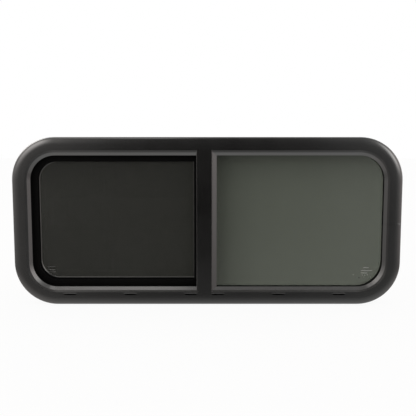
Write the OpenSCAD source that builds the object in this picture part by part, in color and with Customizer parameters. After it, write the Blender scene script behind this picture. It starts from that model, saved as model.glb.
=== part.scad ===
// Sliding window for a caravan wall: a bent aluminium frame, a centre bar, a fixed pane on the
// right, and on the left a sliding pane behind an insect screen. An inner clamp ring grips the wall.
// Pieces are drawn lying flat, x to the right, y up the window and z out of the wall, then stood up.
// A section's x is the distance in from its outline, and its y the distance out from the wall's skin.

/* [Wall] */
// Width of the hole cut in the wall
hole_w = 914.4; // [700:0.1:1200]
// Height of the hole cut in the wall
hole_h = 381; // [320:0.1:600]
// Corner radius of the hole
hole_r = 89.7; // [76:0.1:110]
// Thickness of the wall between the flange and the clamp ring
wall_grip = 31.8; // [31.8:0.1:50]

/* [Outer frame] */
// How far the flange laps the wall outside the hole
flange_lap = 14.3; // [12:0.1:18]
// How far the face stands off the wall's skin
face_height = 9.5; // [8:0.1:14]
// Width of the rounded outer nose
nose_w = 18; // [14:0.5:24]
// Radius of the nose's tight outer curve
nose_r = 5; // [4:0.1:6]
// Height of the straight outer edge below the nose
edge_h = 1.5; // [1:0.1:3]
// Metal thickness of the frame's walls
frame_wall = 1.8; // [1.5:0.1:2.2]
// Width of the face, from the outer edge to the step
face_w = 31.4; // [30:0.1:36]
// Drop of the step inside the face
step_drop = 0.8; // [0.4:0.1:1.2]
// Width of the shallow ledge below the step
ledge_w = 5; // [2:0.1:6]
// Drop of the ledge over its width
ledge_drop = 1.5; // [0.5:0.1:2]
// Width of the bevel that leads in to the glass
bevel_w = 7.4; // [6:0.1:12]
// Drop of the bevel over its width
bevel_drop = 5.8; // [4:0.1:7]
// How far the bevel's lip hangs over the wall behind it
lip_over = 1.5; // [1:0.1:2.5]
// Width of the flat land beside the hole that meets the wall
land_w = 6; // [4:0.1:8]
// Width of the screw groove's opening
screw_groove_w = 3.2; // [2.8:0.1:4]
// Height of the frame's butt joint above the window's middle
joint_height = -5; // [-40:1:40]
// Gap at the butt joints of the frame and the clamp ring
joint_gap = 0.5; // [0.2:0.1:0.6]

/* [Tracks] */
// Depth of the first track's front side behind the wall's skin
track_front = 9.8; // [8:0.1:12]
// Width of the track that holds the fixed glass and the screen
outer_track_w = 9; // [8.6:0.1:11]
// Thickness of the rib between the two tracks
rib_t = 1.4; // [1:0.1:2]
// Width of the track that the sliding pane runs in
inner_track_w = 9; // [8:0.1:12]
// How deep the tracks are below the bevel's edge
track_depth = 6; // [5:0.1:8]
// How much further out the inner track and the clamp ring's edge lie, out of sight from outside
inner_set = 5; // [3:0.1:5.5]

/* [Weep slots] */
// Length of a weep slot
weep_l = 29; // [15:1:35]
// Height of a weep slot
weep_h = 3.2; // [2:0.1:3.4]
// Distance of the slots in from the outer edge
weep_in = 25.9; // [23:0.1:26.4]
// Height of the pressed hood over a slot
hood_h = 2.6; // [2:0.1:3]
// How far a hood stands off the face
hood_stand = 1.1; // [0.6:0.1:1.6]
// Distance of the first slot from the middle of the centre bar
weep_first = 33.4; // [32:0.1:50]
// Spacing of the slots
weep_pitch = 148; // [60:0.1:160]
// Number of slots on each side of the centre bar
weep_count = 3; // [1:1:3]

/* [Centre bar] */
// Width of the centre bar's face
bar_w = 38.4; // [34:0.1:44]
// Distance of the centre bar's middle from the window's middle, to the right
bar_offset = -7.3; // [-30:0.1:30]
// Metal thickness of the centre bar
bar_wall = 1.8; // [1.5:0.1:2.2]
// Width of the eased edges on the bar's face
bar_ease = 1.6; // [0.8:0.1:1.7]
// How far the bar's back flanges reach past its webs
bar_flange = 6; // [4:0.1:8]
// Width of the bevelled bead on the bar's right
bead_w = 10.6; // [8:0.1:14]
// Width of the cut at the bar's lower left corner
cope_w = 4.5; // [2:0.1:8]
// Height of the cut at the bar's lower left corner
cope_h = 11; // [4:0.1:14]

/* [Glass and rubber] */
// Thickness of both panes
glass_t = 3.2; // [3:0.1:4]
// Thickness of the black strip that lines the opening
seal_t = 1.2; // [0.8:0.1:1.4]
// Thickness of the rubber between the fixed glass and the track's front side
gasket_front = 4; // [3:0.1:4.4]
// Thickness of the rubber under the edges of the glass
gasket_base = 1; // [0.8:0.1:2]
// How far the rubber laps the back of the fixed glass
gasket_lap = 3.5; // [2:0.1:4.5]
// Thickness of the lined channel's sides and base
run_t = 1; // [0.8:0.1:1.4]
// Height of the lined channel
run_h = 5; // [4:0.1:6]
// Gap between the sliding pane and the pile on each side
pile_gap = 0.2; // [0.1:0.05:0.5]
// Gap over the sliding pane, which lets it be lifted out
lift_gap = 1.5; // [1:0.1:2]

/* [Insect screen] */
// Width of the screen frame's bars
screen_w = 21; // [18:0.5:26]
// Thickness of the screen frame
screen_t = 8; // [7.5:0.1:8.4]
// Metal thickness of the screen frame
screen_wall = 1; // [0.8:0.1:1.2]
// Gap round the screen frame
screen_gap = 0.3; // [0.2:0.1:0.5]
// Width of the eased front edge round the screen's opening
screen_ease = 1.6; // [0.5:0.1:2.5]
// Width of the land between the screen's opening and its groove
screen_land = 4; // [3:0.1:5]
// How far the land lies below the screen frame's back
land_drop = 1; // [0.5:0.1:1.5]
// Diameter of the rubber cord that holds the mesh
cord_d = 3.4; // [3:0.1:4]
// Gap on each side of the cord in its groove
cord_gap = 0.1; // [0.05:0.05:0.2]
// Thickness of the mesh
mesh_t = 0.3; // [0.3:0.1:0.5]

/* [Sliding pane's rail] */
// Width of the rail on the sliding pane's right edge
rail_w = 20; // [16:0.5:24]
// Metal thickness of the rail
rail_wall = 1.4; // [1.2:0.1:1.6]
// Gap between the rail's ends and the frame
rail_end_gap = 1; // [0.5:0.1:2]
// How deep the glass sits in the rail
rail_bite = 12; // [8:0.1:14]
// Distance of the rail's middle from the window's middle, to the right
rail_offset = -2; // [-6:0.1:4]
// How far the rail's finger pull stands off it
pull_h = 7; // [4:0.1:9]
// Width of the pile strip on the back of the centre bar
pile_w = 5; // [4:0.1:7]

/* [Latch] */
// Length of the latch's base
latch_l = 62; // [50:1:80]
// Width of the latch's base
latch_w = 13; // [10:0.1:14]
// Thickness of the latch's base
latch_t = 3; // [2.5:0.1:4]
// Width of the lever
lever_w = 8; // [6:0.1:9]
// Length of the lever
lever_l = 34; // [24:1:40]
// Thickness of the lever's grip
lever_t = 3; // [2.5:0.1:4]
// Number of grooves across the lever's grip
grip_grooves = 5; // [3:1:6]
// Spacing of the grooves
grip_pitch = 2.4; // [2:0.1:3]
// Depth of the grooves
grip_depth = 0.5; // [0.3:0.1:0.8]
// Diameter of the lever's pin
pin_d = 3; // [2.5:0.1:4]
// Thickness of the plastic round the pin
pin_wall = 1.5; // [1.2:0.1:2]
// Gap between the lever's grip and the base
grip_gap = 1.2; // [0.8:0.1:2]
// Distance of the latch from the rail's edge
latch_edge = 1; // [0.5:0.1:2]
// Clearance round the lever and its pin
latch_gap = 0.1; // [0.05:0.05:0.2]

/* [Clamp ring] */
// How far the ring laps the wall outside the hole
ring_lap = 9.3; // [7:0.1:12]
// Thickness of the clamp ring
ring_t = 2; // [1.5:0.1:3]
// Width of the ring's land on the wall
ring_land_w = 6; // [4:0.1:7]
// How far the land stands off the ring towards the wall
ring_lip = 0.6; // [0.4:0.1:1.5]
// Width of the eased edges on the ring's face
ring_ease = 0.8; // [0.4:0.1:1.2]
// Diameter of the holes for the ring's screws
ring_hole_d = 4.4; // [4:0.1:5]
// Diameter of the screw heads' seats
ring_seat_d = 8.4; // [7:0.1:9]
// Spacing of the screws along the top and bottom
ring_pitch_x = 150; // [110:1:160]
// Distance of the side screws above and below the middle
ring_side_y = 62; // [20:1:65]
// Distance of the screws beside the ring's joint from it
ring_joint_x = 22; // [16:1:30]

/* [Hidden] */
$fn = 96;

// Cuts run this far past what they cut.
over = 1;

frame_w = hole_w + 2 * flange_lap;
frame_h = hole_h + 2 * flange_lap;
frame_r = hole_r + flange_lap;
half_w = frame_w / 2;
half_h = frame_h / 2;
// The window's middle stands this high over the origin, which is on the flange's land.
land_middle = flange_lap - land_w / 2;
middle_height = half_h - land_middle;

// Distances in from the outer edge.
bevel_in = face_w + ledge_w;
sight_in = bevel_in + bevel_w;
reveal_in = sight_in - lip_over;
floor_in = sight_in - track_depth;
rib_in = floor_in + 4;
inner_floor_in = floor_in - inner_set;
leg_in = sight_in - 0.3 - inner_set;
seal_in = reveal_in + seal_t;
barrel_in = flange_lap + frame_wall;
floor_back_in = inner_floor_in - frame_wall;
screw_in = (barrel_in + floor_back_in) / 2;

// Heights out from the wall's skin, and depths behind it.
ledge_height = face_height - step_drop;
bevel_height = ledge_height - ledge_drop;
sight_height = bevel_height - bevel_drop;
bead_height = (ledge_height + bevel_height) / 2;
lip_height = sight_height - frame_wall;
rib_front = track_front + outer_track_w;
inner_front = rib_front + rib_t;
inner_back = inner_front + inner_track_w;
leg_back = inner_back + frame_wall;
web_back = rib_front + frame_wall;
frame_back = wall_grip + ring_lip;

// The fixed glass, the sliding glass and its rail.
fixed_front = track_front + gasket_front;
fixed_back = fixed_front + glass_t;
glass_edge_in = floor_in + gasket_base;
slide_middle = (inner_front + inner_back) / 2;
slide_front = slide_middle - glass_t / 2;
slide_back = slide_middle + glass_t / 2;
run_base_in = inner_floor_in + run_t;
rail_glazing_t = 0.4;
rail_half_t = glass_t / 2 + rail_glazing_t + rail_wall;
rail_front = slide_middle - rail_half_t;
rail_back = slide_middle + rail_half_t;
rail_left = rail_offset - rail_w / 2;
rail_right = rail_offset + rail_w / 2;
rail_end = half_h - sight_in - rail_end_gap;
slide_glass_right = rail_left + rail_bite;

// The centre bar.
bar_left = bar_offset - bar_w / 2;
bar_right = bar_offset + bar_w / 2;
bar_end = half_h - face_w;
bar_web = bar_left + 0.42 * bar_w;
bar_back = inner_front;
bead_right = bar_right + bead_w;

// The screen.
screen_front = track_front + 0.2;
screen_back = screen_front + screen_t;
screen_in = floor_in + screen_gap;
screen_opening_in = screen_in + screen_w;
screen_right = bar_web - screen_gap;
screen_left = screen_right - screen_w;
groove_w = cord_d + 2 * cord_gap;
groove_in = screen_opening_in - screen_land - groove_w;
cord_in = groove_in + groove_w / 2;
mesh_in = screen_opening_in - screen_land;
mesh_front = screen_back - land_drop;
cord_depth = screen_back - 0.4 - cord_d / 2;

// The clamp ring and the latch.
ring_back = frame_back + ring_t;
ring_out = flange_lap - ring_lap;
latch_back = rail_back + latch_t;
latch_x = rail_right - latch_w / 2 - latch_edge;
lever_pivot_depth = latch_back + pin_d / 2 + pin_wall;
lever_back = lever_pivot_depth + pin_d / 2 + grip_gap;

// Runs a section along the right side of an outline, inwards from x.
module along_right(x, y0, y1) {
    translate([x, (y0 + y1) / 2, 0])
        rotate([90, 0, 0])
            linear_extrude(height = y1 - y0, center = true)
                mirror([1, 0]) children();
}

module along_left(x, y0, y1) {
    mirror([1, 0, 0]) along_right(-x, y0, y1) children();
}

module along_top(y, x0, x1) {
    rotate([0, 0, 90]) along_right(y, -x1, -x0) children();
}

module along_bottom(y, x0, x1) {
    mirror([0, 1, 0]) along_top(-y, x0, x1) children();
}

// Turns a section round an outline's corner of radius r, centred on x, y.
module round_corner(x, y, r, turn) {
    translate([x, y, 0])
        rotate([0, 0, turn])
            rotate_extrude(angle = 90)
                translate([r, 0]) mirror([1, 0]) children();
}

// The right end of the frame's outline: two corners, the side, and the top and bottom from x.
module right_run(x) {
    along_right(half_w, frame_r - half_h, half_h - frame_r) children();
    round_corner(half_w - frame_r, half_h - frame_r, frame_r, 0) children();
    round_corner(half_w - frame_r, frame_r - half_h, frame_r, 270) children();
    along_top(half_h, x, half_w - frame_r) children();
    along_bottom(-half_h, x, half_w - frame_r) children();
}

// The left end of the frame's outline, with its top and bottom as far as x.
module left_run(x) {
    mirror([1, 0, 0]) right_run(-x) children();
}

module full_run() {
    right_run(0) children();
    left_run(0) children();
}

// A flat shape in the opening, a given distance in from the outline, round at its left end.
module left_shape(inset, x) {
    r = frame_r - inset;
    x0 = inset - half_w;
    y = half_h - inset;
    translate([x0 + r, -y]) square([x - x0 - r, 2 * y]);
    translate([x0, r - y]) square([r + over, 2 * (y - r)]);
    for (s = [-1, 1])
        translate([x0 + r, s * (y - r)]) circle(r);
}

// Frame

// The nose is a tight arc that runs into a wide one, which meets the face without an edge. The two
// arcs cross at a slight angle, so that they have one clear point in common.
nose_cross = 6;
nose_rise = face_height - edge_h;
nose_run = nose_w - nose_r;
nose_wide_r = (nose_run * nose_run + nose_rise * nose_rise - nose_r * nose_r)
    / (2 * (nose_rise - nose_r * cos(nose_cross)));
nose_wide_y = face_height - nose_wide_r;

// What lies inside the nose's curve, a given distance in from it.
module nose_space(inset) {
    far = 2 * face_w;
    slope = (edge_h - nose_wide_y) / nose_run;
    intersection() {
        translate([nose_w, nose_wide_y]) circle(nose_wide_r - inset);
        union() {
            translate([nose_r, edge_h]) circle(nose_r - inset);
            area(inset, nose_w, -nose_w, edge_h);
            polygon([[nose_r, edge_h], [nose_r - far / slope, edge_h + far],
                [nose_w, edge_h + far], [nose_w, edge_h]]);
        }
    }
}

// The outline of the frame's section, with its hollows filled.
module frame_outline() {
    intersection() {
        nose_space(0);
        area(0, nose_w, 0, face_height);
    }
    polygon([[flange_lap, 0], [nose_w, 0], [nose_w, face_height],
        [face_w, face_height], [face_w, ledge_height], [bevel_in, bevel_height],
        [sight_in, sight_height], [sight_in, lip_height], [reveal_in, lip_height],
        [reveal_in, -track_front], [floor_in, -track_front], [floor_in, -rib_front],
        [rib_in, -rib_front], [rib_in, -inner_front], [inner_floor_in, -inner_front],
        [inner_floor_in, -inner_back], [leg_in, -inner_back], [leg_in, -leg_back],
        [floor_back_in, -leg_back], [floor_back_in, -frame_back], [flange_lap, -frame_back]]);
}

// The space under the face, the ledge and the bevel, down to a given depth.
module under_face(depth) {
    t = frame_wall;
    intersection() {
        nose_space(t);
        area(t, nose_w, -depth, face_height);
    }
    area(t, nose_w, -depth, edge_h);
    polygon([[nose_w, -depth], [nose_w, face_height - t],
        [face_w - t / 2, face_height - t], [face_w - t / 2, ledge_height - t],
        [bevel_in - t / 3, bevel_height - t], [reveal_in - t, lip_height + t / 2],
        [reveal_in - t, -depth]]);
}

// A rectangle from one corner to the other.
module area(x0, x1, y0, y1) {
    translate([x0, y0]) square([x1 - x0, y1 - y0]);
}

module frame_hollows() {
    t = frame_wall;
    // Sealant pocket behind the flange, and its opening to the wall
    intersection() {
        under_face(over);
        union() {
            area(t, flange_lap, t, face_height);
            area(t, flange_lap - land_w, -over, t + over);
        }
    }
    // Drained chamber behind the face
    intersection() {
        under_face(rib_front);
        union() {
            area(barrel_in, floor_in - t, -rib_front, face_height);
            area(barrel_in, reveal_in - t, t - track_front, face_height);
        }
    }
    // Screw groove, and the slots beside it
    groove_wall = 1.6;
    g = screw_groove_w / 2;
    area(screw_in - g, screw_in + g, -frame_back - over, -web_back - t);
    area(barrel_in, screw_in - g - groove_wall, -frame_back - over, -web_back);
    area(screw_in + g + groove_wall, floor_back_in, -frame_back - over, -web_back);
}

module frame_section() {
    difference() {
        frame_outline();
        frame_hollows();
    }
}

// A stadium lying along x, centred on the origin.
module stadium(l, h) {
    square([l - h, h], center = true);
    for (s = [-1, 1])
        translate([s * (l - h) / 2, 0]) circle(h / 2);
}

weep_places = [for (i = [0:weep_count - 1], s = [-1, 1])
    [bar_offset + s * (weep_first + i * weep_pitch), weep_in - half_h]];

// The pressed hood over a weep slot: a slice of a lying cylinder, cut to a stadium.
module weep_hood() {
    r = (hood_h * hood_h / 4 + hood_stand * hood_stand) / (2 * hood_stand);
    translate([0, (weep_h + hood_h) / 2, 0])
        intersection() {
            translate([0, 0, face_height - frame_wall / 2])
                linear_extrude(height = frame_wall / 2 + hood_stand)
                    stadium(weep_l + hood_h, hood_h);
            translate([0, 0, face_height + hood_stand - r])
                rotate([0, 90, 0]) cylinder(r = r, h = 2 * weep_l, center = true);
        }
}

module outer_frame() {
    color("#2e2e2d")
        difference() {
            union() {
                full_run() frame_section();
                for (p = weep_places)
                    translate(p) weep_hood();
            }
            for (p = weep_places)
                translate([p[0], p[1], face_height - frame_wall - over])
                    linear_extrude(height = frame_wall + 2 * over) stadium(weep_l, weep_h);
            translate([half_w - frame_r, joint_height - joint_gap / 2, -frame_back - over])
                cube([frame_r + over, joint_gap, frame_back + face_height + 2 * over]);
        }
}

// Black strips that line the opening under the bevel

module seal_section() {
    area(reveal_in, seal_in, -track_front, lip_height);
}

module left_reveal_seal() {
    color("#0b0b0b") left_run(bar_left) seal_section();
}

module right_reveal_seal() {
    y = half_h - seal_in;
    color("#0b0b0b") {
        right_run(bead_right - lip_over) seal_section();
        translate([bead_right - lip_over, -y, -track_front])
            cube([seal_t, 2 * y, track_front + lip_height]);
    }
}

// Centre bar

// The space that the frame's top and bottom members take, for what is fitted over them.
module frame_members() {
    reach = 2 * bar_w;
    along_top(half_h, -reach, reach) frame_outline();
    along_bottom(-half_h, -reach, reach) frame_outline();
}

module centre_bar_section() {
    t = bar_wall;
    difference() {
        polygon([[bar_left, face_height - bar_ease], [bar_left + bar_ease, face_height],
            [bar_right - bar_ease, face_height], [bar_right, face_height - bar_ease],
            [bar_right, -rib_front], [bar_right + bar_flange, -rib_front],
            [bar_right + bar_flange, -bar_back], [bar_web - bar_flange, -bar_back],
            [bar_web - bar_flange, -rib_front], [bar_web, -rib_front], [bar_web, face_height - t],
            [bar_left + t, face_height - t], [bar_left + t, -track_front],
            [bar_left, -track_front]]);
        area(bar_web + t, bar_right - t, -rib_front, face_height - t);
    }
}

// Stands a section drawn in x and depth up along y.
module upright(y0, y1) {
    translate([0, y0, 0]) mirror([0, 1, 0]) rotate([90, 0, 0])
        linear_extrude(height = y1 - y0) children();
}

module centre_bar() {
    color("#1b1b1a")
        difference() {
            upright(-bar_end, bar_end) centre_bar_section();
            frame_members();
            // Cut at the lower left corner, which shows the end of the bevel
            translate([0, 0, -track_front])
                linear_extrude(height = track_front + face_height + over)
                    polygon([[bar_left - over, -bar_end - over], [bar_left + cope_w, -bar_end - over],
                        [bar_left + cope_w, -bar_end], [bar_left, cope_h - bar_end],
                        [bar_left - over, cope_h - bar_end]]);
        }
}

module centre_bar_bead() {
    t = frame_wall;
    wall_x = bead_right - lip_over;
    color("#5f5c5b")
        difference() {
            upright(-bar_end, bar_end)
                difference() {
                    polygon([[bar_right, -track_front], [bar_right, bead_height],
                        [bead_right, sight_height], [bead_right, lip_height],
                        [wall_x, lip_height], [wall_x, -track_front]]);
                    polygon([[bar_right + t, t - track_front], [bar_right + t, bead_height - 2 * t],
                        [wall_x - t, lip_height + t / 2], [wall_x - t, t - track_front]]);
                }
            frame_members();
        }
}

module centre_bar_pile() {
    x = (bar_web + bar_right) / 2;
    color("#161616")
        translate([x - pile_w / 2, -rail_end, -rail_front])
            cube([pile_w, 2 * rail_end, rail_front - bar_back]);
}

// Fixed pane

module fixed_pane() {
    color("#5a5f56")
        translate([0, 0, -fixed_back])
            linear_extrude(height = glass_t)
                mirror([1, 0]) left_shape(glass_edge_in, -bar_right - gasket_base);
}

// The rubber round the glass: its front reaches in as far as the strip that lines the opening.
module gasket_section(front_reach) {
    area(0, gasket_base, -rib_front, -track_front);
    area(0, front_reach, -fixed_front, -track_front);
    area(0, gasket_base + gasket_lap, -rib_front, -fixed_back);
}

module fixed_pane_gasket() {
    y = half_h - floor_in;
    color("#0d0d0d") {
        right_run(bar_right) translate([floor_in, 0]) gasket_section(seal_in - floor_in);
        upright(-y, y) translate([bar_right, 0]) gasket_section(bead_w - lip_over + seal_t);
    }
}

// Insect screen

module screen_section() {
    t = screen_wall;
    difference() {
        polygon([[screen_in, -screen_back], [screen_in, -screen_front],
            [screen_opening_in - screen_ease, -screen_front],
            [screen_opening_in, -screen_front - screen_ease], [screen_opening_in, -screen_back]]);
        area(screen_in + t, groove_in - t, t - screen_back, -screen_front - t);
        area(groove_in, groove_in + groove_w, -screen_back - over, cord_d / 2 + 0.3 - cord_depth);
        area(groove_in, screen_opening_in + over, -screen_back - over, -mesh_front);
    }
}

// The mitres between the bow and the stile: the corner pieces that belong to the stile.
module mitre_space() {
    y = half_h - screen_in;
    far = y + over;
    translate([0, 0, -screen_back - over])
        linear_extrude(height = screen_t + 2 * over)
            polygon([[screen_right + over, -far], [screen_right + over, far],
                [screen_right, y], [screen_left, y - screen_w],
                [screen_left, screen_w - y], [screen_right, -y]]);
}

module screen_bow() {
    color("#0f0f0f")
        difference() {
            left_run(screen_right) screen_section();
            mitre_space();
        }
}

module screen_stile() {
    y = half_h - screen_in;
    color("#0f0f0f")
        intersection() {
            along_right(screen_right + screen_in, -y, y) screen_section();
            mitre_space();
        }
}

module screen_mesh() {
    color("#1c1c1b")
        translate([0, 0, -mesh_front - mesh_t])
            linear_extrude(height = mesh_t) left_shape(mesh_in, screen_left + screen_land);
}

module screen_cord() {
    r = frame_r - cord_in;
    bend = 2 * cord_d;
    x0 = cord_in - half_w;
    x1 = screen_left + screen_land + groove_w / 2;
    y = half_h - cord_in;
    color("#101010") {
        for (s = [0, 1])
            mirror([0, s, 0]) {
                along_top(y, x0 + r, x1 - bend) cord_section();
                round_corner(x0 + r, y - r, r, 90) cord_section();
                round_corner(x1 - bend, y - bend, bend, 0) cord_section();
            }
        along_left(x0, r - y, y - r) cord_section();
        along_right(x1, bend - y, y - bend) cord_section();
    }
}

module cord_section() {
    translate([0, -cord_depth]) circle(cord_d / 2);
}

// Sliding pane

module run_section() {
    top = inner_floor_in + run_h;
    area(inner_floor_in, run_base_in, -inner_back, -inner_front);
    area(inner_floor_in, top, pile_gap - slide_front, -inner_front);
    area(inner_floor_in, top, -inner_back, -slide_back - pile_gap);
}

module glass_run_channel() {
    color("#121212") full_run() run_section();
}

module sliding_pane() {
    color("#2c2e2a")
        translate([0, 0, -slide_back])
            linear_extrude(height = glass_t)
                difference() {
                    left_shape(run_base_in, slide_glass_right);
                    translate([-half_w, half_h - run_base_in - lift_gap]) square([frame_w, half_h]);
                }
}

module sliding_rail() {
    glass_gap = glass_t / 2 + rail_glazing_t;
    color("#262625")
        upright(-rail_end, rail_end)
            difference() {
                union() {
                    area(rail_left, rail_right, -rail_back, -rail_front);
                    area(rail_left, rail_left + rail_wall, -rail_back - pull_h, -rail_back);
                }
                area(rail_left - over, slide_glass_right + rail_glazing_t,
                    -slide_middle - glass_gap, glass_gap - slide_middle);
                area(slide_glass_right + rail_glazing_t + rail_wall, rail_right - rail_wall,
                    rail_wall - rail_back, -rail_front - rail_wall);
            }
}

module sliding_rail_glazing() {
    t = rail_glazing_t;
    right = slide_glass_right + t;
    color("#0d0d0d")
        upright(-rail_end, rail_end)
            difference() {
                area(rail_left - over, right, -slide_back - t, t - slide_front);
                area(rail_left - 2 * over, slide_glass_right, -slide_back, -slide_front);
            }
}

// Latch

module latch_base() {
    cheek = (latch_w - lever_w) / 2 - latch_gap;
    color("#151515") {
        translate([latch_x, 0, -latch_back])
            linear_extrude(height = latch_t) rotate(90) stadium(latch_l, latch_w);
        for (s = [-1, 1])
            difference() {
                translate([latch_x + s * (latch_w - cheek) / 2, 0, 0])
                    rotate([0, 90, 0])
                        linear_extrude(height = cheek, center = true)
                            union() {
                                translate([lever_pivot_depth, 0]) circle(pin_d / 2 + pin_wall);
                                translate([latch_back - over / 2, -pin_d / 2 - pin_wall])
                                    square([lever_pivot_depth - latch_back + over / 2,
                                        pin_d + 2 * pin_wall]);
                            }
                translate([latch_x, 0, -lever_pivot_depth])
                    rotate([0, 90, 0]) cylinder(d = pin_d, h = 2 * latch_w, center = true);
            }
    }
}

module latch_lever() {
    hub = pin_d / 2 + pin_wall - latch_gap;
    grip_back = hub / 2 - lever_back - lever_t;
    color("#1a1a1a")
        difference() {
            union() {
                translate([latch_x, 0, -lever_pivot_depth])
                    rotate([0, 90, 0]) cylinder(r = hub, h = lever_w, center = true);
                translate([latch_x, 0, grip_back])
                    linear_extrude(height = lever_t)
                        translate([0, lever_l / 2 - hub]) rotate(90) stadium(lever_l, lever_w);
            }
            translate([latch_x, 0, -lever_pivot_depth])
                rotate([0, 90, 0])
                    cylinder(d = pin_d + 2 * latch_gap, h = 2 * latch_w, center = true);
            for (i = [0:grip_grooves - 1])
                translate([latch_x, lever_l - hub - lever_w / 2 - i * grip_pitch, grip_back])
                    cube([lever_w + over, grip_pitch / 2, 2 * grip_depth], center = true);
        }
}

module latch_pin() {
    color("#8a8a88")
        translate([latch_x, 0, -lever_pivot_depth])
            rotate([0, 90, 0]) cylinder(d = pin_d, h = latch_w, center = true);
}

// Clamp ring

module ring_section() {
    e = ring_ease;
    land = ring_out + ring_land_w;
    polygon([[ring_out + e, -ring_back], [ring_out, e - ring_back], [ring_out, -wall_grip],
        [land, -wall_grip], [land, -frame_back], [leg_in - frame_wall, -frame_back],
        [leg_in - frame_wall, -leg_back], [leg_in, -leg_back],
        [leg_in, e - ring_back], [leg_in - e, -ring_back]]);
}

ring_side_x = half_w - screw_in;
ring_top_y = half_h - screw_in;
ring_screws = concat(
    [for (i = [-2:2]) [i * ring_pitch_x, ring_top_y]],
    [for (x = [ring_joint_x, ring_pitch_x, 2 * ring_pitch_x], s = [-1, 1]) [s * x, -ring_top_y]],
    [for (s = [-1, 1], t = [-1, 1]) [s * ring_side_x, t * ring_side_y]]);

module clamp_ring() {
    color("#2a2a29")
        difference() {
            full_run() ring_section();
            for (p = ring_screws)
                translate([p[0], p[1], -ring_back]) {
                    translate([0, 0, -over]) cylinder(d = ring_hole_d, h = ring_t + 2 * over);
                    cylinder(d1 = ring_seat_d, d2 = ring_hole_d, h = ring_t - 0.4);
                }
            translate([-joint_gap / 2, -half_h - over, -ring_back - over])
                cube([joint_gap, frame_r, ring_back]);
        }
}

// Stands the window up with the flange's land at the origin.
module stand_up() {
    translate([0, 0, middle_height]) rotate([90, 0, 0]) children();
}

stand_up() outer_frame();
stand_up() left_reveal_seal();
stand_up() right_reveal_seal();
stand_up() centre_bar();
stand_up() centre_bar_bead();
stand_up() centre_bar_pile();
stand_up() fixed_pane();
stand_up() fixed_pane_gasket();
stand_up() screen_bow();
stand_up() screen_stile();
stand_up() screen_mesh();
stand_up() screen_cord();
stand_up() glass_run_channel();
stand_up() sliding_pane();
stand_up() sliding_rail();
stand_up() sliding_rail_glazing();
stand_up() latch_base();
stand_up() latch_lever();
stand_up() latch_pin();
stand_up() clamp_ring();
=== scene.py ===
import math

import bpy
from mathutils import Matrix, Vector


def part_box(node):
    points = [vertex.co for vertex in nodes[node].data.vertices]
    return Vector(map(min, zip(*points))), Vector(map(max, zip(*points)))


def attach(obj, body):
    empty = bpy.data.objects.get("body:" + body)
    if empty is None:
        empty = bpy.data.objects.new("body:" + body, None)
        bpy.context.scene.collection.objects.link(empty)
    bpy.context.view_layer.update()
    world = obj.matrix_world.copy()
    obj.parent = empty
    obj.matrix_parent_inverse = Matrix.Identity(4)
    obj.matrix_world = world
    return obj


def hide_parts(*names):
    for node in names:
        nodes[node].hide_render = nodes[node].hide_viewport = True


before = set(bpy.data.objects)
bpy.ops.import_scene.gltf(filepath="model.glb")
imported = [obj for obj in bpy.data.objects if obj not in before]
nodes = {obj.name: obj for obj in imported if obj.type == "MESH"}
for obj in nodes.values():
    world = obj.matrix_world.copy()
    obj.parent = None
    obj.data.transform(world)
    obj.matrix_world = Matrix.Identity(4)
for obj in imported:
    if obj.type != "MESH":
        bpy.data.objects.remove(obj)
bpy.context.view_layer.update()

MM = 0.001
scene = bpy.context.scene

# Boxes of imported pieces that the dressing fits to
frame_low, frame_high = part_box("outer_frame")
mesh_low, mesh_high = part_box("screen_mesh")
RING_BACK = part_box("clamp_ring")[1].y
MIDDLE = (frame_low.z + frame_high.z) / 2


# Shader maths


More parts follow.
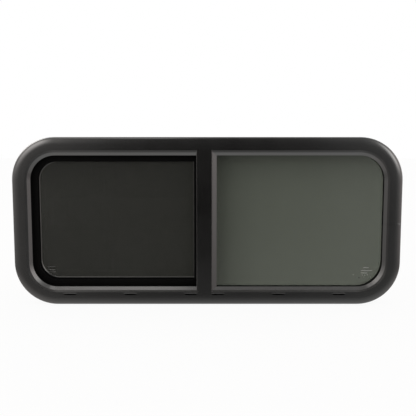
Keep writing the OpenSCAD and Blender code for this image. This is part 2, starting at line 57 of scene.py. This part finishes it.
class Net:
    """A material's or the world's nodes."""

    def __init__(self, tree):
        self.tree = tree
        tree.nodes.clear()

    def add(self, kind, settings=None, **values):
        """Adds a node, sets it up, then fills its sockets by name, or by i and a number."""
        node = self.tree.nodes.new(kind)
        for key, value in (settings or {}).items():
            if key == "stops":
                self.set_stops(node.color_ramp, value)
            else:
                setattr(node, key, value)
        for key, value in values.items():
            by_number = key[0] == "i" and key[1:].isdigit()
            socket = node.inputs[int(key[1:]) if by_number else key.replace("_", " ")]
            if isinstance(value, Sock):
                self.tree.links.new(value.out, socket)
            else:
                socket.default_value = value
        return node

    def set_stops(self, ramp, stops):
        while len(ramp.elements) > 1:
            ramp.elements.remove(ramp.elements[-1])
        for i, (place, colour) in enumerate(stops):
            element = ramp.elements[0] if i == 0 else ramp.elements.new(place)
            element.position = place
            element.color = colour

    def sock(self, node, name=0):
        return Sock(self, node.outputs[name])

    def maths(self, operation, *values):
        slots = {"i%d" % i: value for i, value in enumerate(values)}
        return self.sock(self.add("ShaderNodeMath", {"operation": operation}, **slots))

    def split(self, vector):
        """A vector's x, y and z."""
        axes = self.add("ShaderNodeSeparateXYZ", Vector=vector)
        return [self.sock(axes, i) for i in range(3)]

    def place(self, scale=(1, 1, 1)):
        """Object coordinates in millimetres, times scale."""
        coords = self.sock(self.add("ShaderNodeTexCoord"), "Object")
        return self.sock(self.add("ShaderNodeMapping", Vector=coords, Scale=tuple(s / MM for s in scale)))

    def facing(self):
        """The way that the surface faces, as x, y and z."""
        return self.split(self.sock(self.add("ShaderNodeNewGeometry"), "Normal"))

    def noise(self, place, scale, detail=2.0, roughness=0.5):
        node = self.add("ShaderNodeTexNoise", Vector=place, Scale=scale, Detail=detail, Roughness=roughness)
        return self.sock(node)

    def remap(self, value, low, high, to_low=0.0, to_high=1.0, soft=False):
        kind = {"clamp": True, "interpolation_type": "SMOOTHSTEP" if soft else "LINEAR"}
        node = self.add("ShaderNodeMapRange", kind, i0=value, i1=low, i2=high, i3=to_low, i4=to_high)
        return self.sock(node)

    def spread(self, noise, to_low=0.0, to_high=1.0):
        """Stretches a noise, which lies mostly between 0.3 and 0.7, over new ends."""
        return self.remap(noise, 0.3, 0.7, to_low, to_high)

    def mix(self, factor, a, b):
        """Goes from colour a to colour b. Each is a link, or red, green and blue."""
        a, b = [colour if isinstance(colour, Sock) else (*colour, 1) for colour in (a, b)]
        return self.sock(self.add("ShaderNodeMix", {"data_type": "RGBA"}, i0=factor, i6=a, i7=b), 2)

    def ramp(self, factor, stops):
        return self.sock(self.add("ShaderNodeValToRGB", {"stops": stops}, Fac=factor))

    def bump(self, height, depth):
        """Depth is in millimetres."""
        return self.sock(self.add("ShaderNodeBump", Height=height, Distance=depth * MM))

    def output(self, shader, kind="ShaderNodeOutputMaterial"):
        self.add(kind, i0=shader)

    def surface(self, **values):
        """Ends a material with a Principled surface."""
        self.output(self.sock(self.add("ShaderNodeBsdfPrincipled", **values)))


class Sock:
    """A socket's value, for sums written as Python."""

    def __init__(self, net, out):
        self.net = net
        self.out = out

    def __add__(self, other):
        return self.net.maths("ADD", self, other)

    def __radd__(self, other):
        return self.net.maths("ADD", other, self)

    def __sub__(self, other):
        return self.net.maths("SUBTRACT", self, other)

    def __rsub__(self, other):
        return self.net.maths("SUBTRACT", other, self)

    def __mul__(self, other):
        return self.net.maths("MULTIPLY", self, other)

    def __rmul__(self, other):
        return self.net.maths("MULTIPLY", other, self)


def new_material(name):
    material = bpy.data.materials.new(name)
    material.use_nodes = True
    return material, Net(material.node_tree)


def shade(colour, share):
    return [c * share for c in colour]


# Finishes. Noise scales are in features a millimetre, and depths in millimetres

# A pale tone is painted on the up-facing slopes of the lower opening, as painted light where the light from
# above falls. It lies up to this height in mm, and thins out over the next stretch
LIT_SLOPE_TOP = frame_low.z / MM + 60
LIT_SLOPE_FADE = 30
# The pale colour of that painted light
LIT_SLOPE_COLOUR = (0.042, 0.0415, 0.04)
BURNISHED = (0.068, 0.068, 0.066)


def lower_slope_painted_light(net, place):
    """Painted light: a pale tone on the up-facing slopes round the lower part of the opening, where the
    light from above falls, and none higher up.
    """
    rising = net.remap(net.facing()[2], 0.14, 0.26)
    lower = net.remap(net.split(place)[2], LIT_SLOPE_TOP, LIT_SLOPE_TOP + LIT_SLOPE_FADE, 1.0, 0.0, soft=True)
    patches = net.remap(net.noise(place, 0.35, 4.0, 0.65), 0.3, 0.6, 0.55, 1.0)
    return rising * lower * patches


def coat_skin(net, place, colour, drift_scale):
    """A coat's pebbled height, its slow drift, and its colour as that drifts."""
    pebble = net.noise(place, 1.6, 3.0, 0.55)
    drift = net.noise(place, drift_scale, 3.0, 0.6)
    return pebble, drift, net.mix(net.spread(drift), shade(colour, 0.88), shade(colour, 1.12))


def coated_metal(name, colour, roughness, specular, grain=0.02, lit_slopes=False):
    """Powder coat: a fine pebbled skin, with slow changes of gloss across it."""
    material, net = new_material(name)
    place = net.place()
    pebble, drift, tone = coat_skin(net, place, colour, 0.012)
    speck = net.remap(net.noise(place, 2.7), 0.62, 0.75)
    tone = net.mix(speck * 0.35, tone, shade(colour, 1.9))
    # Painted light: a pale tone on the lower up-facing slopes, where the light from above falls
    if lit_slopes:
        tone = net.mix(lower_slope_painted_light(net, place), tone, LIT_SLOPE_COLOUR)
    net.surface(
        Base_Color=tone,
        Roughness=net.spread(drift, roughness - 0.03, roughness + 0.04),
        Specular_IOR_Level=specular,
        Normal=net.bump(pebble, grain),
    )
    return material


def rubbed_coat(name, colour, roughness, specular, grain):
    """Matt coat, rubbed through to a burnished line along the eased edges."""
    material, net = new_material(name)
    place = net.place()
    pebble, _, tone = coat_skin(net, place, colour, 0.02)
    outward = net.facing()[1]
    eased = net.remap(outward, -0.97, -0.87) * net.remap(outward, -0.3, -0.15, 1.0, 0.0)
    rubbed = eased * net.remap(net.noise(place, 0.3, 4.0, 0.6), 0.25, 0.5, 0.7, 1.0)
    net.surface(
        Base_Color=net.mix(rubbed, tone, BURNISHED),
        Metallic=rubbed,
        Roughness=net.remap(rubbed, 0, 1, roughness, 0.3),
        Specular_IOR_Level=specular,
        Normal=net.bump(pebble, grain),
    )
    return material


def rubber(name, colour):
    """Matt rubber, greyed here and there by dust."""
    material, net = new_material(name)
    place = net.place()
    dust = net.noise(place, 0.05, 4.0, 0.6)
    net.surface(
        Base_Color=net.mix(net.remap(dust, 0.4, 0.75), colour, shade(colour, 1.5)),
        Roughness=net.spread(dust, 0.54, 0.66),
        Specular_IOR_Level=0.1,
        Normal=net.bump(net.noise(place, 2.2), 0.015),
    )
    return material


def tinted_glass(name, colour):
    """Glass with its tint right through, faintly smeared in places."""
    material, net = new_material(name)
    smear = net.noise(net.place(), 0.02, 3.0, 0.6)
    net.surface(
        Base_Color=(*colour, 1),
        Roughness=net.remap(smear, 0.45, 0.75, 0.0, 0.03),
        Transmission_Weight=1.0,
        IOR=1.5,
    )
    return material


def nylon(name, colour, specular=0.5):
    """Moulded plastic with a fine spark-eroded grain."""
    material, net = new_material(name)
    place = net.place()
    grain = net.noise(place, 4.0)
    clouds = net.remap(net.noise(place, 0.1, 3.0), 0.35, 0.7)
    net.surface(
        Base_Color=net.mix(clouds, colour, shade(colour, 1.3)),
        Roughness=net.spread(grain, 0.42, 0.52),
        Specular_IOR_Level=specular,
        Normal=net.bump(grain, 0.03),
    )
    return material


def brush_pile(name, colour):
    """Hairs that stand out from the strip, drawn by a stretched noise."""
    material, net = new_material(name)
    hair = net.noise(net.place((3, 1, 14)), 1.0, 4.0, 0.7)
    net.surface(
        Base_Color=net.mix(net.remap(hair, 0.35, 0.65), shade(colour, 0.5), shade(colour, 1.8)),
        Roughness=0.85,
        Normal=net.bump(hair, 0.3),
    )
    return material


def steel(name):
    """Plain drawn steel, with fine lines along the pin."""
    material, net = new_material(name)
    brushed = net.noise(net.place((1, 1, 9)), 1.2, 3.0, 0.6)
    net.surface(
        Base_Color=(0.5, 0.5, 0.49, 1),
        Metallic=1.0,
        Roughness=net.spread(brushed, 0.28, 0.42),
        Normal=net.bump(brushed, 0.01),
    )
    return material


def frosted(name, tone, cover):
    """The etched marks: a thin matt frost that lets some of the glass show."""
    material, net = new_material(name)
    grain = net.noise(net.place(), 3.0)
    net.surface(
        Base_Color=(tone, tone, tone * 0.98, 1),
        Roughness=0.7,
        Alpha=net.spread(grain, cover - 0.1, cover + 0.1),
    )
    return material


# The frame's coat has painted light on the up-facing slopes of its lower opening
frame_coat = coated_metal("black_powder_coat", (0.0052, 0.005, 0.0048), 0.16, 1.0, 0.012, lit_slopes=True)
screen_coat = coated_metal("screen_coat", (0.0022, 0.0022, 0.0022), 0.6, 0.04, 0.01)
rim_coat = rubbed_coat("screen_rim_coat", (0.0022, 0.0022, 0.0022), 0.6, 0.04, 0.01)
ring_coat = coated_metal("ring_coat", (0.012, 0.012, 0.012), 0.4, 0.5)
black_rubber = rubber("black_rubber", (0.002, 0.002, 0.002))
fixed_tint = tinted_glass("fixed_glass_tint", (0.087, 0.094, 0.077))
# The vent pane's tint is a darker copy of the fixed pane's: painted shade for the shadow that falls behind
# the vent pane
sliding_tint_painted_shade = tinted_glass("sliding_glass_tint_painted_shade", (0.045, 0.047, 0.035))
wire_finish = nylon("mesh_wire", (0.0225, 0.0225, 0.0213), 0.3)
latch_nylon = nylon("latch_nylon", (0.012, 0.012, 0.012))
pile_finish = brush_pile("brush_pile", (0.02, 0.02, 0.02))
pin_steel = steel("pin_steel")
screw_finish = coated_metal("black_screw", (0.012, 0.012, 0.012), 0.32, 0.7, 0.004)
left_etch = frosted("left_etched_mark", 0.7, 0.88)
right_etch = frosted("right_etched_mark", 0.5, 0.5)
dot_print = rubber("printed_dot", (0.004, 0.004, 0.004))


# Ways of making pieces


def only(obj):
    bpy.ops.object.select_all(action="DESELECT")
    obj.select_set(True)
    bpy.context.view_layer.objects.active = obj


def apply_place(obj):
    only(obj)
    bpy.ops.object.transform_apply(location=True, rotation=True, scale=True)


def smooth(obj, degrees):
    only(obj)
    bpy.ops.object.shade_smooth_by_angle(angle=math.radians(degrees))


def paint(obj, material):
    obj.data.materials.clear()
    obj.data.materials.append(material)


def finish_piece(obj, name, material):
    obj.name = obj.data.name = name
    paint(obj, material)
    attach(obj, "root")
    return obj


def smooth_copy(node, material, slot, degrees):
    """A merged, smooth-shaded copy of a CAD node, which stands for it."""
    source = nodes[node]
    obj = source.copy()
    obj.data = source.data.copy()
    for key in list(obj.keys()):
        del obj[key]
    obj.parent = None
    scene.collection.objects.link(obj)
    only(obj)
    bpy.ops.object.mode_set(mode="EDIT")
    bpy.ops.mesh.select_all(action="SELECT")
    bpy.ops.mesh.remove_doubles(threshold=0.002 * MM)
    bpy.ops.object.mode_set(mode="OBJECT")
    bpy.ops.mesh.customdata_custom_splitnormals_clear()
    smooth(obj, degrees)
    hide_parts(node)
    finish_piece(obj, node + "_finished", material)


def select_points(obj, wanted):
    """In edit mode, selects the points whose place passes the test."""
    bpy.ops.object.mode_set(mode="OBJECT")
    for point in obj.data.vertices:
        point.select = wanted(point.co)
    bpy.ops.object.mode_set(mode="EDIT")
    bpy.ops.mesh.select_mode(type="VERT")


def apply_modifier(obj, name, kind, **settings):
    modifier = obj.modifiers.new(name, kind)
    for key, value in settings.items():
        setattr(modifier, key, value)
    bpy.ops.object.modifier_apply(modifier=name)


def join(parts, name, material):
    bpy.ops.object.select_all(action="DESELECT")
    for part in parts:
        part.select_set(True)
    bpy.context.view_layer.objects.active = parts[0]
    if len(parts) > 1:
        bpy.ops.object.join()
    apply_place(parts[0])
    return finish_piece(parts[0], name, material)


def copy_at(obj, place):
    twin = obj.copy()
    twin.data = obj.data.copy()
    twin.location = place
    scene.collection.objects.link(twin)
    return twin


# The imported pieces: node, finish, slot, and the sharpest edge in degrees that is shaded smooth

DRESSED = [
    ("outer_frame", frame_coat, "powder_coat", 20),
    ("centre_bar", frame_coat, "powder_coat", 30),
    ("centre_bar_bead", frame_coat, "powder_coat", 30),
    ("clamp_ring", ring_coat, "ring_coat", 30),
    ("screen_bow", screen_coat, "screen_coat", 30),
    ("screen_stile", screen_coat, "screen_coat", 30),
    ("sliding_rail", ring_coat, "powder_coat", 30),
    ("fixed_pane", fixed_tint, "tinted_glass", 30),
    ("sliding_pane", sliding_tint_painted_shade, "tinted_glass", 30),
    ("screen_cord", black_rubber, "black_rubber", 40),
    ("latch_base", latch_nylon, "black_plastic", 40),
    ("latch_lever", latch_nylon, "black_plastic", 40),
    ("latch_pin", pin_steel, "pin_steel", 40),
    ("left_reveal_seal", black_rubber, "black_rubber", 30),
    ("right_reveal_seal", black_rubber, "black_rubber", 30),
    ("fixed_pane_gasket", black_rubber, "black_rubber", 30),
    ("glass_run_channel", black_rubber, "black_rubber", 30),
    ("sliding_rail_glazing", black_rubber, "black_rubber", 30),
]
for dressed in DRESSED:
    smooth_copy(*dressed)
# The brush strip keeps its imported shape
paint(nodes["centre_bar_pile"], pile_finish)


# The insect mesh

MESH_PITCH = 1.4 * MM
WIRE_D = 0.5 * MM
WIRE_SIDES = 6
# The upright wires lie this far behind the mesh's middle, and the level ones this far before it
WIRE_OFF = 0.12 * MM
MESH_CORNER = 48.9 * MM
CORNER_FLATS = 8


def wire_bank(upright):
    """Parallel wires across the mesh, one modelled and the rest arrayed."""
    middle = (mesh_low + mesh_high) / 2
    size = mesh_high - mesh_low
    span, across = (size.z, size.x) if upright else (size.x, size.z)
    count = int(across / MESH_PITCH)
    start = (across - (count - 1) * MESH_PITCH) / 2
    if upright:
        place = (mesh_low.x + start, middle.y + WIRE_OFF, middle.z)
        turn = (0, 0, math.pi / WIRE_SIDES)
        step = (MESH_PITCH, 0, 0)
    else:
        place = (middle.x, middle.y - WIRE_OFF, mesh_low.z + start)
        turn = (0, math.pi / 2, 0)
        step = (0, 0, MESH_PITCH)
    bpy.ops.mesh.primitive_cylinder_add(
        vertices=WIRE_SIDES,
        radius=WIRE_D / 2,
        depth=span,
        location=place,
        rotation=turn,
    )
    wire = bpy.context.object
    apply_place(wire)
    apply_modifier(
        wire,
        "bank",
        "ARRAY",
        use_relative_offset=False,
        use_constant_offset=True,
        constant_offset_displace=step,
        count=count,
    )
    trim_corners(wire)
    return wire


def trim_corners(obj):
    """Trims the wires' ends to the mesh's two round corners, a flat at a time."""
    only(obj)
    bpy.ops.object.mode_set(mode="EDIT")
    for side in (-1, 1):
        edge = mesh_low.z if side < 0 else mesh_high.z
        centre = Vector((mesh_low.x + MESH_CORNER, 0, edge - side * MESH_CORNER))
        for i in range(1, CORNER_FLATS + 1):
            a = math.radians(90 * i / (CORNER_FLATS + 1))
            out = Vector((-math.cos(a), 0, side * math.sin(a)))
            bpy.ops.mesh.select_all(action="SELECT")
            bpy.ops.mesh.bisect(
                plane_co=centre + out * MESH_CORNER,
                plane_no=out,
                use_fill=True,
                clear_outer=True,
            )
    bpy.ops.object.mode_set(mode="OBJECT")


bpy.ops.object.select_all(action="DESELECT")
insect_mesh = join([wire_bank(True), wire_bank(False)], "insect_mesh", wire_finish)
smooth(insect_mesh, 60)
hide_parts("screen_mesh")


# The screen's inner rim: a flat lip on the mesh whose edge slopes back to it, wider below

SCREEN_LAND = 4 * MM
RIM_T = 1.7 * MM
RIM_GAP = 0.2 * MM
RIM_FOOT_T = 0.2 * MM
RIM_SEGMENTS = 14
# Insets from the opening on the left, right, bottom and top, in mm
RIM_LIP_IN = (2.4, 0.8, 4.2, 0.4)
RIM_FOOT_IN = (4.0, 2.4, 5.8, 1.8)
RIM_OUTSIDE = (0.0, 0.0, 0.0, 0.0)


def screen_rim():
    low = mesh_low + Vector((SCREEN_LAND, 0, SCREEN_LAND))
    high = mesh_high - Vector((SCREEN_LAND, 0, SCREEN_LAND))
    middle = (low + high) / 2
    back = mesh_low.y - RIM_GAP
    front = back - RIM_T
    bpy.ops.mesh.primitive_plane_add(
        size=1,
        location=(middle.x, front, middle.z),
        rotation=(math.pi / 2, 0, 0),
    )
    rim = bpy.context.object
    rim.scale = (high.x - low.x, high.z - low.z, 1)
    apply_place(rim)
    bpy.ops.object.mode_set(mode="EDIT")
    bpy.ops.mesh.select_all(action="DESELECT")
    select_points(rim, lambda point: point.x < middle.x)
    bpy.ops.mesh.bevel(offset=MESH_CORNER - SCREEN_LAND, segments=RIM_SEGMENTS, affect="VERTICES")
    bpy.ops.mesh.select_all(action="SELECT")
    bpy.ops.mesh.delete(type="ONLY_FACE")
    bpy.ops.mesh.select_all(action="SELECT")
    # The outline goes in over the lip, back down its slope and foot, out along the mesh, and to the start
    loops = [
        (RIM_LIP_IN, front),
        (RIM_FOOT_IN, back - RIM_FOOT_T),
        (RIM_FOOT_IN, back),
        (RIM_OUTSIDE, back),
        (RIM_OUTSIDE, front),
    ]
    now_low, now_high, depth = low, high, front
    for (left_in, right_in, low_in, high_in), next_depth in loops:
        next_low = low + Vector((left_in * MM, 0, low_in * MM))
        next_high = high - Vector((right_in * MM, 0, high_in * MM))
        centre = (now_low + now_high) / 2
        shift = (next_low + next_high) / 2 - centre
        grow_x = (next_high.x - next_low.x) / (now_high.x - now_low.x)
        grow_z = (next_high.z - next_low.z) / (now_high.z - now_low.z)
        bpy.ops.mesh.extrude_edges_move()
        bpy.ops.transform.resize(value=(grow_x, 1, grow_z), center_override=(centre.x, depth, centre.z))
        bpy.ops.transform.translate(value=(shift.x, next_depth - depth, shift.z))
        now_low, now_high, depth = next_low, next_high, next_depth
    bpy.ops.mesh.select_all(action="SELECT")
    bpy.ops.mesh.remove_doubles(threshold=0.01 * MM)
    bpy.ops.mesh.normals_make_consistent(inside=False)
    bpy.ops.object.mode_set(mode="OBJECT")
    smooth(rim, 30)
    finish_piece(rim, "screen_rim", rim_coat)


screen_rim()


# The clamp ring's screws

HEAD_R = 4.0 * MM
HEAD_T = 1.5 * MM
NECK_R = 1.9 * MM
SHANK_R = 1.55 * MM
SHANK_L = 9 * MM
SHANK_START = 1.0 * MM
# The heads lie this far under the ring's back
HEAD_SINK = 0.1 * MM
RECESS_L = 3.6 * MM
RECESS_W = 0.9 * MM
RECESS_DEPTH = 0.8 * MM
HEAD_EDGE = 0.12 * MM

SCREW_PITCH = 150 * MM
SCREW_ROW_Z = 181.25 * MM
SCREW_SIDE_X = 447.95 * MM
SCREW_SIDE_Z = 62 * MM
# Two screws of the bottom row hold the ring's ends, at its joint in the middle
SCREW_JOINT_X = 22 * MM


def countersunk_screw():
    """A flat head with a cross recess, and its shank."""
    face = RING_BACK - HEAD_SINK
    bpy.ops.mesh.primitive_cone_add(
        vertices=32,
        radius1=NECK_R,
        radius2=HEAD_R,
        depth=HEAD_T,
        location=(0, face - HEAD_T / 2, 0),
        rotation=(-math.pi / 2, 0, 0),
    )
    head = bpy.context.object
    apply_place(head)
    bpy.ops.mesh.primitive_cylinder_add(
        vertices=24,
        radius=SHANK_R,
        depth=SHANK_L,
        location=(0, face - SHANK_START - SHANK_L / 2, 0),
        rotation=(math.pi / 2, 0, 0),
    )
    shank = bpy.context.object
    apply_place(shank)
    for wide, high in ((RECESS_L, RECESS_W), (RECESS_W, RECESS_L)):
        bpy.ops.mesh.primitive_cube_add(size=1, location=(0, face, 0), scale=(wide, 2 * RECESS_DEPTH, high))
        arm = bpy.context.object
        apply_place(arm)
        only(head)
        apply_modifier(head, "recess", "BOOLEAN", operation="DIFFERENCE", object=arm)
        bpy.data.objects.remove(arm)
    only(head)
    shank.select_set(True)
    bpy.ops.object.join()
    apply_modifier(head, "edge", "BEVEL", width=HEAD_EDGE, segments=2, angle_limit=math.radians(50))
    smooth(head, 35)
    return head


screw_places = [(i * SCREW_PITCH, SCREW_ROW_Z) for i in range(-2, 3)]
bottom_places = (SCREW_JOINT_X, SCREW_PITCH, 2 * SCREW_PITCH)
screw_places += [(s * x, -SCREW_ROW_Z) for x in bottom_places for s in (-1, 1)]
screw_places += [(s * SCREW_SIDE_X, t * SCREW_SIDE_Z) for s in (-1, 1) for t in (-1, 1)]
first_screw = countersunk_screw()
screws = [copy_at(first_screw, (x, 0, MIDDLE + z)) for x, z in screw_places]
bpy.data.objects.remove(first_screw)
join(screws, "clamp_ring_screws", screw_finish)


# Etched marks: plain bars and dots in a lower corner of each pane, in mm from the window's middle

MARK_T = 0.02 * MM


def soften_mark(obj):
    """Rounds the rim of a bar or a dot, as etching does."""
    apply_place(obj)
    apply_modifier(obj, "round", "BEVEL", width=0.4 * MARK_T)
    return obj


def etched_mark(name, node, bars, bar_h, dots, finish):
    """Each bar is its left end, right end and height over the middle, each dot its place and radius."""
    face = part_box(node)[0].y - MARK_T
    parts = []
    for left_end, right_end, high in bars:
        bpy.ops.mesh.primitive_cube_add(
            size=1,
            location=((left_end + right_end) / 2 * MM, face, MIDDLE + high * MM),
            scale=((right_end - left_end) * MM, MARK_T, bar_h * MM),
        )
        parts.append(soften_mark(bpy.context.object))
    for across, high, radius in dots:
        bpy.ops.mesh.primitive_cylinder_add(
            vertices=16,
            radius=radius * MM,
            depth=MARK_T,
            location=(across * MM, face, MIDDLE + high * MM),
            rotation=(math.pi / 2, 0, 0),
        )
        parts.append(soften_mark(bpy.context.object))
    join(parts, name, finish)


etched_mark(
    "sliding_pane_mark",
    "sliding_pane",
    bars=[(-397, -377, -116.4), (-397, -377, -123.8), (-397, -377, -129.4)],
    bar_h=2.2,
    dots=[(-393, -135, 1.0), (-388, -134.5, 1.0), (-383, -135, 1.0), (-385, -138.5, 0.8), (-379, -138, 0.8)],
    finish=left_etch,
)
etched_mark(
    "fixed_pane_mark",
    "fixed_pane",
    bars=[(386, 399, -117.2), (380, 408, -124.4), (380, 396, -130.2)],
    bar_h=1.6,
    dots=[
        (361.4, -134, 0.9),
        (384, -135.5, 1.1),
        (390, -136, 1.1),
        (396, -135, 1.1),
        (388, -141, 0.9),
        (404, -140.5, 1.0),
    ],
    finish=right_etch,
)
etched_mark("fixed_pane_dot", "fixed_pane", bars=[], bar_h=0, dots=[(375.6, -142.3, 1.3)], finish=dot_print)


# The floor: pale, shows the window's shadow, and lets mirrored and see-through rays on to the studio

FLOOR_SIZE = 14
FLOOR_DROP = 0.2 * MM
FLOOR_TONE = 0.82
FLOOR_GLOW = 0.93


def floor_material():
    material, net = new_material("floor_paint")
    path = net.add("ShaderNodeLightPath")
    seen = net.sock(path, "Is Camera Ray")
    beyond = net.maths("MAXIMUM", net.sock(path, "Is Transmission Ray"), net.sock(path, "Is Glossy Ray"))
    matt = net.sock(net.add("ShaderNodeBsdfDiffuse", Color=(FLOOR_TONE, FLOOR_TONE, FLOOR_TONE, 1)))
    white = net.sock(net.add("ShaderNodeEmission", Color=(1, 1, 1, 1), Strength=1.0))
    clear = net.sock(net.add("ShaderNodeBsdfTransparent"))
    lit = net.sock(net.add("ShaderNodeMixShader", i0=seen * FLOOR_GLOW, i1=matt, i2=white))
    net.output(net.sock(net.add("ShaderNodeMixShader", i0=beyond, i1=lit, i2=clear)))
    return material


bpy.ops.object.select_all(action="DESELECT")
bpy.ops.mesh.primitive_plane_add(size=FLOOR_SIZE, location=(0, 0, frame_low.z - FLOOR_DROP))
floor = bpy.context.object
floor.name = "floor"
apply_place(floor)
paint(floor, floor_material())


# The studio, as brightness by the way that a ray goes: right, back or up, each from -1 to 1

# Brightness by how far up the ray goes: pale below, dark round the camera, dim above until overhead
RISE = [
    (-1, 1.12), (-0.9, 0.94), (-0.8, 0.73), (-0.6, 0.5), (-0.4, 0.36), (-0.3, 0.28), (-0.25, 0.22),
    (-0.22, 0.16), (-0.19, 0.1), (-0.165, 0.055), (-0.14, 0.015), (-0.08, 0.015), (-0.055, 0.05),
    (-0.03, 0.09), (0, 0.105), (0.16, 0.11), (0.35, 0.115), (0.5, 0.12), (0.67, 0.14), (0.8, 0.26),
    (0.87, 0.54), (1, 0.88),
]
# What the sides add, by how far right the ray goes
SIDES = [
    (-1, 1.0), (-0.86, 0.86), (-0.7, 0.6), (-0.5, 0.47), (-0.33, 0.37), (-0.26, 0.32), (-0.215, 0.29),
    (-0.166, 0.14), (-0.124, 0.03), (-0.08, 0), (0.1, 0), (0.157, 0.05), (0.2, 0.19), (0.265, 0.24),
    (0.43, 0.34), (0.56, 0.44), (0.66, 0.55), (0.8, 0.85), (0.88, 1.2), (1, 1.4),
]
# How much of that is added, by how far up the ray goes, with all of it at FULL_SIDE
SIDE_RISE = [
    (-1, 0.15), (-0.85, 0.24), (-0.6, 0.32), (-0.42, 0.28), (-0.3, 0.16), (-0.24, 0.17), (-0.2, 0.28),
    (-0.15, 0.37), (-0.09, 0.41), (-0.05, 0.44), (-0.02, 0.54), (0.15, 0.56), (0.4, 0.7), (0.6, 0.85),
    (0.75, 0.8), (0.85, 0.42), (0.95, 0.2),
]
FULL_SIDE = 0.42
# Both sides are faintly warm, by how far right the ray goes, here from 0 to 1
WARMTH = [
    (0.3, (1, 0.96, 0.93, 1)), (0.47, (1, 0.99, 0.97, 1)), (0.6, (1, 1, 0.99, 1)),
    (0.8, (1, 0.99, 0.97, 1)), (0.93, (1, 0.93, 0.91, 1)),
]
# How bright the two soft boxes and the glaring lamp are, and the way to that lamp
LEFT_BOX = 3.4
RIGHT_BOX = 4.3
GLARE = 9
GLARE_WAY = Vector((-0.69, 0.15, 0.71)).normalized()
# What shows through the panes, with a painted shadow of the window's top and centre bar on what lies behind,
# by how far down and how far right the ray goes, up to BEHIND_SPAN
BEHIND_SPAN = 0.25
BEHIND_LOW = [(0.03, 0.22), (0.045, 0.36), (0.062, 0.72), (0.082, 0.9), (0.11, 0.98), (0.14, 1.0)]
BEHIND_SIDE = [
    (0, 0.45), (0.01, 0.46), (0.02, 0.53), (0.032, 0.7), (0.045, 0.81), (0.07, 0.92), (0.1, 0.97),
    (0.16, 1.0),
]


def curve(net, value, table, low=-1.0, high=1.0):
    """Looks a value between low and high up in a table of values and results."""
    span = high - low
    stops = [((place - low) / span, (result, result, result, 1)) for place, result in table]
    return net.ramp(value * (1 / span) - low / span, stops)


def front_lights(net, right, back, up):
    """Lights that show only in gloss, for the two upper corners: a soft box each side, and a glare."""
    left_box = net.remap(right, -0.42, -0.22, 1.0, 0.0, soft=True) * net.remap(up, 0.04, 0.42)
    right_box = net.remap(right, 0.42, 0.7, soft=True) * net.remap(up, 0.0, 0.2)
    below_top = net.remap(up, 0.62, 0.8, 1.0, 0.0, soft=True)
    in_front = net.remap(back, -0.66, -0.46, 1.0, 0.0, soft=True)
    boxes = (left_box * LEFT_BOX + right_box * RIGHT_BOX) * below_top * in_front
    # Up on the left and level with the window, the lamp catches the upper left corner's outer edge
    toward = up * GLARE_WAY.z + right * GLARE_WAY.x + back * GLARE_WAY.y
    return boxes + net.remap(toward, 0.89, 0.98, soft=True) * GLARE


def light_studio():
    world = bpy.data.worlds.new("studio")
    world.use_nodes = True
    scene.world = world
    net = Net(world.node_tree)
    right, back, up = net.split(net.sock(net.add("ShaderNodeTexCoord"), "Generated"))
    path = net.add("ShaderNodeLightPath")
    seen = net.sock(path, "Is Camera Ray")
    through = net.sock(path, "Is Transmission Ray")
    mirrored = net.sock(path, "Is Glossy Ray")
    tent = curve(net, up, RISE) + curve(net, right, SIDES) * curve(net, up, SIDE_RISE) * (1 / FULL_SIDE)
    tent = tent + mirrored * front_lights(net, right, back, up)
    # What shows through the panes is darker near the horizon and towards the centre bar: a painted shadow of
    # the window's top and centre bar on what lies behind
    behind = curve(net, up * -1, BEHIND_LOW, 0, BEHIND_SPAN) * curve(net, right, BEHIND_SIDE, 0, BEHIND_SPAN)
    strength = net.maths("MAXIMUM", seen, (1 - through) * tent + through * behind)
    warmth = net.ramp(right * 0.5 + 0.5, WARMTH)
    colour = net.mix(net.maths("MAXIMUM", seen, through), warmth, (1, 1, 1))
    sky = net.sock(net.add("ShaderNodeBackground", Color=colour, Strength=strength))
    net.output(sky, "ShaderNodeOutputWorld")


light_studio()


# The key light, high in front of the window and to the left

KEY_PLACE = Vector((-0.55, -0.74, 1.86))
KEY_AIM = Vector((-0.2, 0, 0.1))
KEY_W, KEY_D = 0.98, 0.5
KEY_WATTS = 2.15
KEY_COLOUR = (1, 0.965, 0.95)


def hang_key_light():
    data = bpy.data.lights.new("key_light", "AREA")
    data.shape = "RECTANGLE"
    data.size = KEY_W
    data.size_y = KEY_D
    data.energy = KEY_WATTS
    data.color = KEY_COLOUR
    lamp = bpy.data.objects.new("key_light", data)
    lamp.location = KEY_PLACE
    lamp.rotation_euler = (KEY_AIM - KEY_PLACE).to_track_quat("-Z", "Y").to_euler()
    scene.collection.objects.link(lamp)


hang_key_light()


# The camera, which looks down on the window a little. A pixel of the photo is PIXEL wide at the window

DISTANCE = 1.7
TILT = math.radians(7.0)
PHOTO_W = 416
PIXEL = 2.429 * MM
AIM_Y = -4 * MM
AIM_RIGHT = 0.64 * PIXEL
AIM_OVER = 13.85 * PIXEL
SENSOR = 36.0
FAR = 50


def place_camera():
    lens = bpy.data.cameras.new("camera")
    lens.sensor_fit = "HORIZONTAL"
    lens.sensor_width = SENSOR
    lens.lens = SENSOR * DISTANCE / (PIXEL * PHOTO_W)
    lens.clip_end = FAR
    camera = bpy.data.objects.new("camera", lens)
    ahead = Vector((0, math.cos(TILT), -math.sin(TILT)))
    over = Vector((0, math.sin(TILT), math.cos(TILT)))
    aim = Vector((AIM_RIGHT, AIM_Y, MIDDLE)) + over * AIM_OVER
    camera.location = aim - ahead * DISTANCE
    camera.rotation_euler = (math.pi / 2 - TILT, 0, 0)
    scene.collection.objects.link(camera)
    scene.camera = camera


place_camera()

scene.view_settings.view_transform = "Standard"
